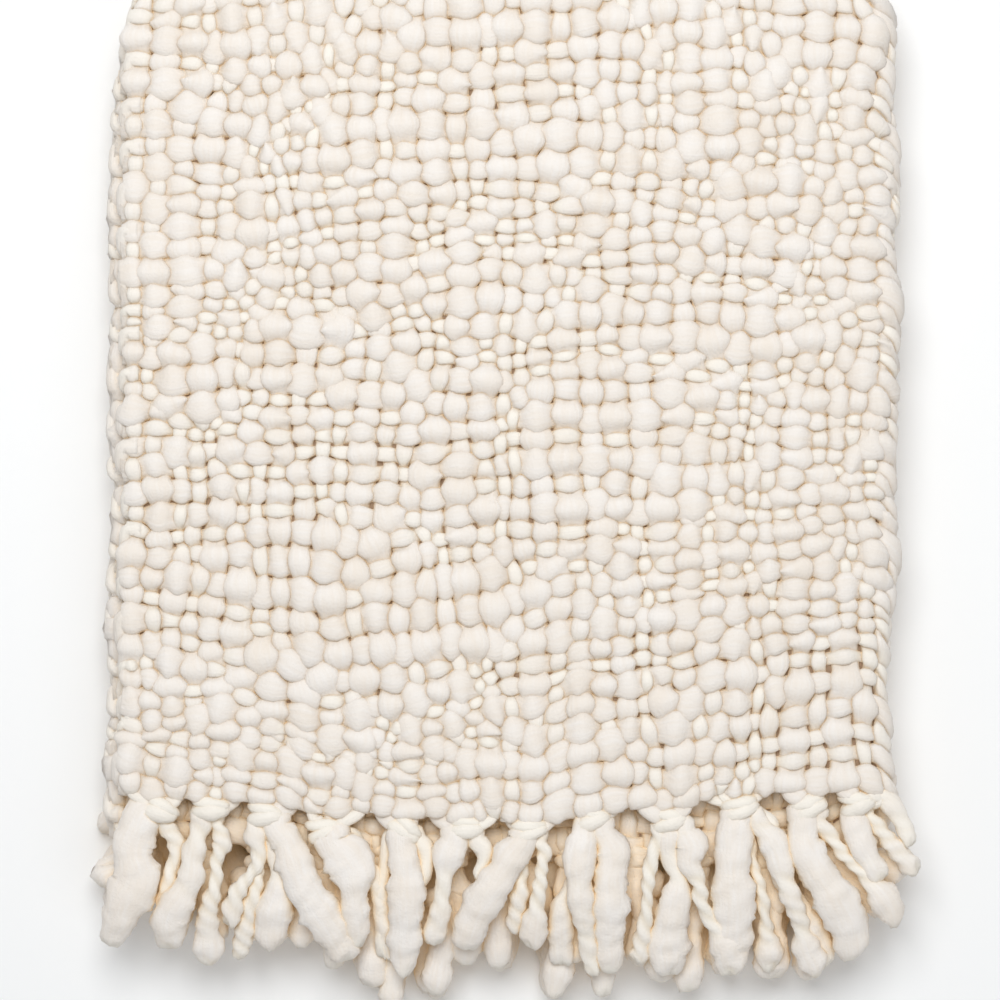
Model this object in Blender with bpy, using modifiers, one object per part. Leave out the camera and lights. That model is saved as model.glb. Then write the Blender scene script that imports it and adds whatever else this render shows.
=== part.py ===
"""A chunky hand-woven throw with a knotted fringe at both ends, folded and lying flat.

Metres, +Z up. The cloth is folded in half across its width, with the fold at +X and both selvedges
at -X, and then in half along its length, with that fold at +Y and both fringed ends at -Y. So four
layers lie on each other: the outer front, the inner front, the inner back and the outer back.

A place on the cloth is given by u, across its width, v, along its length from the front's hem, and
n, out of its face. The sheet and its fringe are shaped squarely folded first, and lie_down() then
gives them the outline and the slight waves of the real one.
"""

import math
import random

import bmesh
import bpy
import numpy as np

# Sizes of the cloth as it comes off the loom
CLOTH_WIDTH = 1.300
CLOTH_LENGTH = 1.430
CLOTH_THICKNESS = 0.021
RIM_ROUNDING = 0.006
FRINGE_LENGTH = 0.140

# How it is folded
LAYER_PITCH = 0.024
SELVEDGE_STEP = 0.011
HALF_PITCH = LAYER_PITCH / 2
TOP_FOLD_RADIUS = LAYER_PITCH
SIDE_FOLD_START = (CLOTH_WIDTH - SELVEDGE_STEP - math.pi * HALF_PITCH) / 2
SIDE_FOLD_END = SIDE_FOLD_START + math.pi * HALF_PITCH
MID_HEIGHT = CLOTH_THICKNESS / 2 + HALF_PITCH + TOP_FOLD_RADIUS
OUTER_BACK, INNER_BACK, INNER_FRONT, OUTER_FRONT = range(4)

# The folded throw's straight outline, before it is made uneven
TOP_EDGE = TOP_FOLD_RADIUS + HALF_PITCH + CLOTH_THICKNESS / 2
RIGHT_EDGE = HALF_PITCH + CLOTH_THICKNESS / 2
LEFT_EDGE = -SIDE_FOLD_START - SELVEDGE_STEP
EDGE_BAND = 0.150
HEM_PULL = 0.300
CORNER_PINCH = 0.028
PINCH_SPAN = 0.074
INNER_TUCK = 0.014
TUCK_SPAN = 0.120

# Unevenness of the sides. Columns: millimetres below the top fold, millimetres outwards
RIGHT_WAVE = [
    (74, -1), (115, -2), (206, 4), (243, 0), (286, 3), (349, 2), (459, -2), (501, 1), (617, -6), (695, 0),
]
LEFT_WAVE = [
    (74, -5), (155, -1), (243, 1), (286, -1), (349, 0), (426, 2), (450, -2), (551, 3), (612, 1), (682, 4),
]

# Long waves of the cloth, as a share of the height over the floor. Columns: the share, waves a metre
# across and down, and the place in the wave
WAVES = [(0.014, 3.2, 2.7, 0.3), (0.010, 3.2, -2.7, 1.9), (0.010, 5.2, 3.2, 0.0)]

# Droop of the hems. Columns: millimetres across the cloth, millimetres past the square end
FRONT_HEM = [
    (0, -6), (60, -1), (123, 2), (171, 13), (287, 15), (341, 18), (392, 7), (455, 7), (513, -4),
    (613, -11), (645, -6), (700, 2), (820, 10), (960, 4), (1090, 9), (1200, -3), (1300, -6),
]
BACK_HEM = [
    (0, 4), (120, -4), (290, 6), (430, 9), (600, -2), (645, -3), (760, 5), (930, 12), (1120, 3), (1300, -5),
]

# Fringe: a narrow band along the hem, a knot for every three warps or so, and loose strands
HEM_GAP = 0.0003
SIDE_FOLD_GAP = 0.0035
BAND_DEPTH = 0.010
BAND_THICKNESS = 0.015
KNOT_DROP = 0.012
KNOT_RADII = (0.0135, 0.0078, 0.0090)
TASSEL_PITCH = 0.052
KNOT_SHIFT = 0.004
TIP_SHIFT = 0.001
SHORTEST_STRAND = 0.85
LONGEST_STRAND = 1.05
STRAND_SHARE = 0.8
STRAND_STEPS = 4
STRAND_FLATNESS = 0.5
NECK_WIDTH = 0.008
# How wide a strand is along its length. Columns: share of the length, share of the width
STRAND_FORM = [(0.0, 0.35), (0.2, 0.5), (0.4, 0.8), (0.6, 0.85), (0.8, 1.0), (1.0, 0.3)]

# Strand heights over each layer's fall. Columns: millimetres past the layer's hem, millimetres up
STRAND_FALL = {
    OUTER_FRONT: [(0, 82.5), (65, 81.5), (155, 60)],
    INNER_FRONT: [(0, 58.5), (25, 58.5), (145, 41)],
    INNER_BACK: [(0, 34.5), (25, 34), (145, 24)],
}

# The front's tassels, left to right. Columns: the knot's place across the cloth, then for each
# strand its tip's place across the cloth, how far past the square end it reaches, and its width,
# all in millimetres
FRONT_TASSELS = [
    (38, [(-6, 127, 24), (48, 62, 14)]),
    (79, [(45, 126, 24), (72, 140, 20)]),
    (123, [(98, 108, 18), (132, 126, 20), (164, 133, 22)]),
    (171, [(195, 124, 22), (221, 137, 13)]),
    (238, [(240, 153, 24)]),
    (289, [(265, 126, 20)]),
    (341, [(293, 124, 24), (325, 116, 15), (346, 127, 16)]),
    (392, [(368, 139, 16), (390, 152, 16), (412, 145, 20)]),
    (455, [(434, 139, 15), (457, 150, 22), (485, 145, 20)]),
    (513, [(513, 149, 22), (543, 149, 18), (577, 152, 22)]),
    (571, [(607, 137, 22)]),
    (613, [(636, 105, 22)]),
]

YARN_COLOUR = (0.86, 0.82, 0.76, 1.0)
YARN_ROUGHNESS = 0.9


def clear_scene():
    for obj in list(bpy.data.objects):
        bpy.data.objects.remove(obj, do_unlink=True)


def smooth(share):
    """0 up to 0, 1 from 1, and a soft step between them."""
    share = np.clip(share, 0, 1)
    return share * share * (3 - 2 * share)


def read_table(place, rows):
    """A two-column table in millimetres, read at a place in metres, with soft steps between its rows."""
    columns = np.array(rows, float) / 1000
    index = np.clip(np.searchsorted(columns[:, 0], place) - 1, 0, len(columns) - 2)
    low, high = columns[index], columns[index + 1]
    share = smooth((place - low[..., 0]) / (high[..., 0] - low[..., 0]))
    return low[..., 1] + (high[..., 1] - low[..., 1]) * share


def fold(u, v, n):
    """Where a point of the cloth comes to lie, squarely folded. Returns x, y, z and the point's height
    over the first fold's middle, which is above 0 on the outer layers and below it on the inner ones."""
    front_pull = 1 - smooth(v / HEM_PULL)
    back_pull = 1 - smooth((CLOTH_LENGTH - v) / HEM_PULL)
    v = v - read_table(u, FRONT_HEM) * front_pull + read_table(u, BACK_HEM) * back_pull
    turn = np.clip((u - SIDE_FOLD_START) / HALF_PITCH, 0, math.pi)
    past_side_fold = np.maximum(SIDE_FOLD_START - u, 0) + np.maximum(u - SIDE_FOLD_END, 0)
    x = (HALF_PITCH + n) * np.sin(turn) - past_side_fold
    above = (HALF_PITCH + n) * np.cos(turn)
    radius = TOP_FOLD_RADIUS + above
    middle_radius = TOP_FOLD_RADIUS + HALF_PITCH * np.cos(turn)
    run = v - CLOTH_LENGTH / 2
    turn = np.clip(run / middle_radius, -math.pi / 2, math.pi / 2)
    past_top_fold = np.maximum(np.abs(run) - middle_radius * math.pi / 2, 0)
    y = radius * np.cos(turn) - past_top_fold
    z = MID_HEIGHT - radius * np.sin(turn)
    return x, y, z, above


def lie_down(x, y, z, above):
    """Gives squarely folded points the uneven outline and the slight waves of a throw that lies on a
    flat surface. The underside stays flat."""
    down = TOP_EDGE - y
    pinch = CORNER_PINCH * np.clip(1 - down / PINCH_SPAN, 0, 1) ** 2
    at_right = smooth((x - RIGHT_EDGE + EDGE_BAND) / EDGE_BAND)
    at_left = smooth((LEFT_EDGE + EDGE_BAND - x) / EDGE_BAND)
    tuck = INNER_TUCK * (1 - smooth(down / TUCK_SPAN)) * smooth(0.5 - above / HALF_PITCH)
    x = x + at_right * (read_table(down, RIGHT_WAVE) - pinch)
    x = x - at_left * (read_table(down, LEFT_WAVE) - pinch - tuck)
    wave = sum(share * np.sin(math.tau * (across * x + up * y) + phase) for share, across, up, phase in WAVES)
    return x, y, z * (1 + wave)


def stations(*runs):
    """Places from runs of (first, last, steps) that follow each other."""
    places = [runs[0][0]]
    for first, last, steps in runs:
        places += [first + (last - first) * step / steps for step in range(1, steps + 1)]
    return places


ACROSS = stations(
    (0, SIDE_FOLD_START, 10),
    (SIDE_FOLD_START, SIDE_FOLD_END, 6),
    (SIDE_FOLD_END, CLOTH_WIDTH, 10),
)
TOP_FOLD_HALF = (TOP_FOLD_RADIUS + HALF_PITCH) * math.pi / 2
ALONG = stations(
    (0, CLOTH_LENGTH / 2 - TOP_FOLD_HALF, 10),
    (CLOTH_LENGTH / 2 - TOP_FOLD_HALF, CLOTH_LENGTH / 2 + TOP_FOLD_HALF, 8),
    (CLOTH_LENGTH / 2 + TOP_FOLD_HALF, CLOTH_LENGTH, 10),
)


def evaluated_mesh(obj):
    graph = bpy.context.evaluated_depsgraph_get()
    return bpy.data.meshes.new_from_object(obj.evaluated_get(graph))


def flat_slab(name, across, along, thickness, rounding):
    """A flat sheet with these rows and columns, given its thickness and a rounded rim."""
    mesh = bpy.data.meshes.new(name)
    bm = bmesh.new()
    columns, rows = len(across) - 1, len(along) - 1
    bmesh.ops.create_grid(bm, x_segments=columns, y_segments=rows, size=0.5)
    for vert in bm.verts:
        vert.co.x = across[round((vert.co.x + 0.5) * columns)]
        vert.co.y = along[round((vert.co.y + 0.5) * rows)]
    bm.to_mesh(mesh)
    bm.free()
    sheet = bpy.data.objects.new(name, mesh)
    bpy.context.scene.collection.objects.link(sheet)
    solidify = sheet.modifiers.new("Thickness", "SOLIDIFY")
    solidify.thickness = thickness
    solidify.offset = 0
    bevel = sheet.modifiers.new("Rim", "BEVEL")
    bevel.width = rounding
    bevel.segments = 2
    bevel.limit_method = "ANGLE"
    slab = evaluated_mesh(sheet)
    bpy.data.objects.remove(sheet, do_unlink=True)
    return slab


def move_points(mesh, mapping):
    """Moves every point of a mesh by a function that takes and gives arrays of x, y and z."""
    points = np.empty(len(mesh.vertices) * 3)
    mesh.vertices.foreach_get("co", points)
    x, y, z = mapping(*points.reshape(-1, 3).T)
    mesh.vertices.foreach_set("co", np.stack([x, y, z], axis=1).ravel())
    mesh.update()


def fold_and_lie(u, v, n):
    return lie_down(*fold(u, v, n))


def cloth():
    mesh = flat_slab("blanket_cloth", ACROSS, ALONG, CLOTH_THICKNESS, RIM_ROUNDING)
    move_points(mesh, fold_and_lie)
    return bpy.data.objects.new("blanket_cloth", mesh)


def hem_band(name, at_front):
    """The twisted warp ends between the last weft and the knots, as one narrow band along the hem."""
    near, far = (-HEM_GAP, -BAND_DEPTH) if at_front else (CLOTH_LENGTH + HEM_GAP, CLOTH_LENGTH + BAND_DEPTH)
    mesh = flat_slab(name, ACROSS, sorted((near, far)), BAND_THICKNESS, BAND_THICKNESS / 5)

    def clear_of_cloth(u, v, n):
        from_fold = np.abs(u - (SIDE_FOLD_START + SIDE_FOLD_END) / 2) / LAYER_PITCH
        gap = SIDE_FOLD_GAP * smooth(2 - 1.5 * from_fold)
        return fold_and_lie(u, v - gap if at_front else v + gap, n)

    move_points(mesh, clear_of_cloth)
    return bpy.data.objects.new(name, mesh)


def hem_place(u, at_front, past):
    """The squarely folded place that lies this far past the hem."""
    v = -past if at_front else CLOTH_LENGTH + past
    x, y, z, above = fold(np.array(u), np.array(v), np.array(0.0))
    return float(x), float(y), float(z), float(above)


def layer_of(u, at_front):
    outer = u < CLOTH_WIDTH / 2
    if at_front:
        return OUTER_FRONT if outer else INNER_FRONT
    return OUTER_BACK if outer else INNER_BACK


def square_end(above):
    """y of a layer's square end, squarely folded."""
    return -(CLOTH_LENGTH / 2 - (TOP_FOLD_RADIUS + above) * math.pi / 2)


def knot(u, at_front):
    x, y, z, above = hem_place(u, at_front, KNOT_DROP)
    bm = bmesh.new()
    bmesh.ops.create_uvsphere(bm, u_segments=6, v_segments=4, radius=1)
    for vert in bm.verts:
        around, up, along = vert.co
        vert.co = (x + along * KNOT_RADII[0], y + around * KNOT_RADII[1], z + up * KNOT_RADII[2])
    mesh = bpy.data.meshes.new("knot")
    bm.to_mesh(mesh)
    bm.free()
    move_points(mesh, lambda x, y, z: lie_down(x, y, z, above))
    return bpy.data.objects.new("knot", mesh)


def strand_section():
    """The four-sided section that a strand's curve is bevelled with, one metre wide."""
    data = bpy.data.curves.new("strand_section", "CURVE")
    data.dimensions = "2D"
    spline = data.splines.new("POLY")
    spline.points.add(3)
    spline.use_cyclic_u = True
    for point, (x, y) in zip(spline.points, [(-0.5, -0.5), (0.5, -0.5), (0.5, 0.5), (-0.5, 0.5)]):
        point.co = (x, y * STRAND_FLATNESS, 0, 1)
    section = bpy.data.objects.new("strand_section", data)
    bpy.context.scene.collection.objects.link(section)
    return section


def strand(section, u, at_front, tip_x, tip_y, width):
    """One loose strand, from inside its knot, out to its side and then down to its tip."""
    x, y, z, above = hem_place(u, at_front, KNOT_DROP)
    layer = layer_of(u, at_front)
    end_y = square_end(math.copysign(HALF_PITCH, above))
    bend_x = x + 0.75 * (tip_x - x)
    bend_y = y + 0.35 * (tip_y - y)
    data = bpy.data.curves.new("strand", "CURVE")
    data.dimensions = "3D"
    data.twist_mode = "Z_UP"
    data.bevel_mode = "OBJECT"
    data.bevel_object = section
    data.use_fill_caps = True
    spline = data.splines.new("POLY")
    spline.points.add(STRAND_STEPS)
    for step, point in enumerate(spline.points):
        share = step / STRAND_STEPS
        back = 1 - share
        point_x = back * back * x + 2 * back * share * bend_x + share * share * tip_x
        point_y = back * back * y + 2 * back * share * bend_y + share * share * tip_y
        form = np.interp(share, *zip(*STRAND_FORM))
        point_width = max(width * form, NECK_WIDTH)
        if layer == OUTER_BACK:
            point_z = point_width * STRAND_FLATNESS / 2
        else:
            point_z = float(read_table(np.array(end_y - point_y), STRAND_FALL[layer]))
        if step == 0:
            point_z = z
        point.co = (point_x, point_y, point_z, 1)
        point.radius = point_width
    curve = bpy.data.objects.new("strand", data)
    bpy.context.scene.collection.objects.link(curve)
    bpy.context.view_layer.update()
    mesh = evaluated_mesh(curve)
    bpy.data.objects.remove(curve, do_unlink=True)
    bm = bmesh.new()
    bm.from_mesh(mesh)
    bmesh.ops.remove_doubles(bm, verts=bm.verts, dist=0.00001)
    bmesh.ops.recalc_face_normals(bm, faces=bm.faces)
    bm.to_mesh(mesh)
    bm.free()
    move_points(mesh, lambda x, y, z: lie_down(x, y, z, above))
    return bpy.data.objects.new("strand", mesh)


def hidden_tassels(first, last, rng):
    """Tassels of a layer that hardly shows: an even row of knots with two strands each."""
    count = round((last - first) / TASSEL_PITCH)
    pitch = (last - first) / count
    rows = []
    for index in range(count):
        u = first + pitch * (index + 0.5) + rng.uniform(-KNOT_SHIFT, KNOT_SHIFT)
        tips = []
        for side in (-1, 1):
            tip = u + side * pitch / 4 + rng.uniform(-TIP_SHIFT, TIP_SHIFT)
            tips.append((tip, rng.uniform(SHORTEST_STRAND, LONGEST_STRAND) * FRINGE_LENGTH))
        rows.append((u, tips, STRAND_SHARE * pitch / 2))
    return rows


def fringe(name, at_front, section, rng):
    """One end's fringe: the band, its knots and its strands, united into one solid."""
    pieces = bpy.data.collections.new("pieces of " + name)
    bpy.context.scene.collection.children.link(pieces)

    def add_tassel(u, strands):
        pieces.objects.link(knot(u, at_front))
        for tip_x, tip_y, width in strands:
            pieces.objects.link(strand(section, u, at_front, tip_x, tip_y, width))

    hidden = hidden_tassels(SIDE_FOLD_END, CLOTH_WIDTH, rng)
    if at_front:
        end_y = square_end(HALF_PITCH)
        for knot_place, strands in FRONT_TASSELS:
            tips = np.array(strands) / 1000 * (1, -1, 1) + (-SIDE_FOLD_START, end_y, 0)
            add_tassel(knot_place / 1000, tips.tolist())
    else:
        hidden += hidden_tassels(0, SIDE_FOLD_START, rng)
    for u, tips, width in hidden:
        x, y, _, _ = hem_place(u, at_front, KNOT_DROP)
        outwards = 1 if u < CLOTH_WIDTH / 2 else -1
        add_tassel(u, [(x + outwards * (tip_u - u), y - length + KNOT_DROP, width) for tip_u, length in tips])
    band = hem_band(name, at_front)
    bpy.context.scene.collection.objects.link(band)
    union = band.modifiers.new("Unite", "BOOLEAN")
    union.operation = "UNION"
    union.operand_type = "COLLECTION"
    union.collection = pieces
    union.solver = "EXACT"
    bpy.context.view_layer.update()
    united = evaluated_mesh(band)
    for obj in [*pieces.objects, band]:
        bpy.data.objects.remove(obj, do_unlink=True)
    bpy.data.collections.remove(pieces)
    return bpy.data.objects.new(name, united)


def wool():
    material = bpy.data.materials.new("cream wool")
    material.use_nodes = True
    shader = material.node_tree.nodes["Principled BSDF"]
    shader.inputs["Base Color"].default_value = YARN_COLOUR
    shader.inputs["Roughness"].default_value = YARN_ROUGHNESS
    shader.inputs["Metallic"].default_value = 0.0
    return material


def stand_on_origin(parts):
    """Moves the parts together so that the middle of their box's underside is the origin."""
    corners = np.array([vert.co for part in parts for vert in part.data.vertices])
    low, high = corners.min(axis=0), corners.max(axis=0)
    shift = np.array([(low[0] + high[0]) / 2, (low[1] + high[1]) / 2, low[2]])
    for part in parts:
        move_points(part.data, lambda x, y, z: (x - shift[0], y - shift[1], z - shift[2]))


def main():
    clear_scene()
    rng = random.Random(11)
    section = strand_section()
    parts = [
        cloth(),
        fringe("fringe_front", True, section, rng),
        fringe("fringe_back", False, section, rng),
    ]
    bpy.data.objects.remove(section, do_unlink=True)
    stand_on_origin(parts)
    blanket = bpy.data.collections.new("blanket")
    bpy.context.scene.collection.children.link(blanket)
    for part in parts:
        part.data.materials.clear()
        part.data.materials.append(wool())
        part.data.shade_smooth()
        part.data.set_sharp_from_angle(angle=math.radians(50))
        blanket.objects.link(part)


main()
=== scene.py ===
"""The looks of a chunky hand-woven wool throw, folded in half twice and lying flat on a pale floor.

Metres, +Z up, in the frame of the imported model. The yarns of the weave are laid out on the flat cloth
and then folded, point by point, along the same folds as the model: u runs across the cloth, v along
it from the front's hem, and n out of its face.
"""

import math

import bpy
import numpy as np
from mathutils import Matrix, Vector


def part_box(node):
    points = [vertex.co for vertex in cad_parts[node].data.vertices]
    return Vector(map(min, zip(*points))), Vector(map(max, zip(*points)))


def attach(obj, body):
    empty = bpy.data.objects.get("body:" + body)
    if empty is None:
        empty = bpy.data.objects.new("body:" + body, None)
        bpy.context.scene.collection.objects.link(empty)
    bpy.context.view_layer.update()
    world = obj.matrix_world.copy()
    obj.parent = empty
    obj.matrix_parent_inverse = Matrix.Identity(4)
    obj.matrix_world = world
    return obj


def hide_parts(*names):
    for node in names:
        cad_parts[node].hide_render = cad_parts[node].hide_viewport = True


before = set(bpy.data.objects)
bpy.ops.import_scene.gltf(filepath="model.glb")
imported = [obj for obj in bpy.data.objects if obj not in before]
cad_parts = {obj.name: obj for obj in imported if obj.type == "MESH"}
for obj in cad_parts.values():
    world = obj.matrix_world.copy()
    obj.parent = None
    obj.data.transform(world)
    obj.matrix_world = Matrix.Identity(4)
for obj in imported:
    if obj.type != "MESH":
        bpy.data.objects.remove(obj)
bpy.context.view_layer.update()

# The cloth and how it is folded, as in the model
CLOTH_WIDTH = 1.300
CLOTH_LENGTH = 1.430
CLOTH_THICKNESS = 0.021
LAYER_PITCH = 0.024
SELVEDGE_STEP = 0.011
HALF_PITCH = LAYER_PITCH / 2
TOP_FOLD_RADIUS = LAYER_PITCH
SIDE_FOLD_START = (CLOTH_WIDTH - SELVEDGE_STEP - math.pi * HALF_PITCH) / 2
SIDE_FOLD_END = SIDE_FOLD_START + math.pi * HALF_PITCH
MID_HEIGHT = CLOTH_THICKNESS / 2 + HALF_PITCH + TOP_FOLD_RADIUS
TOP_LAYER_HEIGHT = MID_HEIGHT + TOP_FOLD_RADIUS + HALF_PITCH
TOP_EDGE = TOP_FOLD_RADIUS + HALF_PITCH + CLOTH_THICKNESS / 2
RIGHT_EDGE = HALF_PITCH + CLOTH_THICKNESS / 2
LEFT_EDGE = -SIDE_FOLD_START - SELVEDGE_STEP
EDGE_BAND = 0.150
HEM_PULL = 0.300
CORNER_PINCH = 0.028
PINCH_SPAN = 0.074
INNER_TUCK = 0.014
TUCK_SPAN = 0.120
FLOOR_GAP = 0.0005

# Unevenness of the sides. Columns: millimetres below the top fold, millimetres outwards
RIGHT_WAVE = [
    (74, -1), (115, -2), (206, 4), (243, 0), (286, 3), (349, 2), (459, -2), (501, 1), (617, -6), (695, 0),
]
LEFT_WAVE = [
    (74, -5), (155, -1), (243, 1), (286, -1), (349, 0), (426, 2), (450, -2), (551, 3), (612, 1), (682, 4),
]

# Long waves of the cloth, as a share of the height over the floor. Columns: the share, waves a metre
# across and down, and the place in the wave
WAVES = [(0.014, 3.2, 2.7, 0.3), (0.010, 3.2, -2.7, 1.9), (0.010, 5.2, 3.2, 0.0)]

# Droop of the hems. Columns: millimetres across the cloth, millimetres past the square end
FRONT_HEM = [
    (0, -6), (60, -1), (123, 2), (171, 13), (287, 15), (341, 18), (392, 7), (455, 7), (513, -4),
    (613, -11), (645, -6), (700, 2), (820, 10), (960, 4), (1090, 9), (1200, -3), (1300, -6),
]
BACK_HEM = [
    (0, 4), (120, -4), (290, 6), (430, 9), (600, -2), (645, -3), (760, 5), (930, 12), (1120, 3),
    (1300, -5),
]

# The fringe. Its tables are in millimetres across the cloth and past the top layer's square end
OUTER_BACK, INNER_BACK, INNER_FRONT, OUTER_FRONT = range(4)
KNOT_DROP = 0.012
KNOT_RISE = 0.003
KNOT_MARGIN = 0.026
KNOT_PITCH = 0.052
KNOT_FOLD_GAP = 0.020

# Loose strands. Twisted ones are thin, with beads where their two plies turn
STRAND_FLATNESS = 0.60
STRAND_CORE = 0.0018
FRINGE_THICKEST = 0.0112
TWIST_WIDEST = 0.0125
TWIST_FADE = 0.005
TWIST_DRIFT = 0.0022
TWIST_DRIFT_RUN = 0.009
BEAD_LENGTH = 0.0150
BEAD_SPREAD = (0.85, 1.25)
PLY_WAIST = 0.29
# How strongly painted shade darkens the crease between the two plies
PLY_CREASE_SHADE = 0.45
THIN_STRAND = 0.0055
THIN_STRAND_SPAN = 0.0065
FUZZ = 0.036
LUMPS = 0.050
LUMP_RATE = 300
LUMP_SPREAD = (0.7, 1.3)

# Slow swells of a strand's width. Columns: share of the width, length
SWELLS = [(0.08, 0.047), (0.06, 0.023)]
SWELL_START = 0.020

# A strand's tip is rounded, with an edge that is drawn out unevenly
TIP_ROUNDING = 0.9
TIP_LEAST_ROUNDING = 0.002
TIP_BLUNTNESS = 0.05
TIP_RAGGED = 0.0022
TIP_THIRDS = 0.7
TIP_UNEVENNESS = 0.4
TIP_EDGE = 0.004
TIP_REACH = 0.012

# The top layer's strands leave their knots in an arch, and the fat ones have shoulders
ROOT_WIDTH = 12
SHOULDER = 0.55
SHOULDER_REACH = 0.030
FAT_STRAND = 0.020
FAT_STRAND_SPAN = 0.012
ARCH_ACROSS = 0.85
ARCH_DOWN = 0.30
ARCH_WIDTH = 0.90
LIFT_REACH = 0.050

# The lower layers' strands
LOWER_KNOT_RISE = 0.002
LOWER_KNOT_LEAN = 0.3
LOWER_TWISTS = [0.0, 0.0, 0.9]
LOWER_FAT = (0.021, 0.031)
LOWER_THIN_SHARE = 0.8
LOWER_TWISTED_SHARE = 0.5
LOWER_TIP_SHARE = 0.85
LOWER_ROOT_WIDTH = 0.010
LOWER_BEND = 0.006
LOWER_REACH_SPREAD = (0.98, 1.05)
SHORTEST_STRAND = 0.020

# Short strands that fill the lower layers near the hem, in millimetres
FILLERS_ACROSS = range(6, 640, 23)
FILLER_SWAY = 6
FILLER_REACH = (80, 100)

# Height of the strands' middle. Columns: millimetres past the layer's end, millimetres up
STRAND_FALL = {
    OUTER_FRONT: [(0, 82.5), (65, 81.5), (155, 60)],
    INNER_FRONT: [(0, 58.5), (25, 58.5), (145, 41)],
    INNER_BACK: [(0, 34.5), (25, 34), (145, 24)],
    OUTER_BACK: [(0, 10.5), (25, 10.5), (145, 10)],
}

# Half of each knot's turn of roving. Columns: across, up and width, in metres
KNOT_WRAP = [
    (-0.0130, -0.0060, 0.0080), (-0.0098, 0.0008, 0.0120), (0, 0.0040, 0.0152),
    (0.0098, 0.0008, 0.0120), (0.0130, -0.0060, 0.0080),
]

# Each knot's two turns. Columns: place along the strands, tilt in radians, size
KNOT_TURNS = [(-0.0030, 0.16, 1.0), (0.0036, -0.20, 0.82)]
KNOT_TILT_SPREAD = 0.16

# The top layer's knots. Columns: across, past the end, lean in degrees
KNOTS = [
    (38, 7, -22), (79, 6, -6), (123, 11, 4), (171, 24, 10), (238, 23, -38), (288, 21, 2), (341, 24, 8),
    (393, 14, 6), (457, 16, 8), (516, 6, 14), (573, 5, 24), (613, 2, 10),
]

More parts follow.
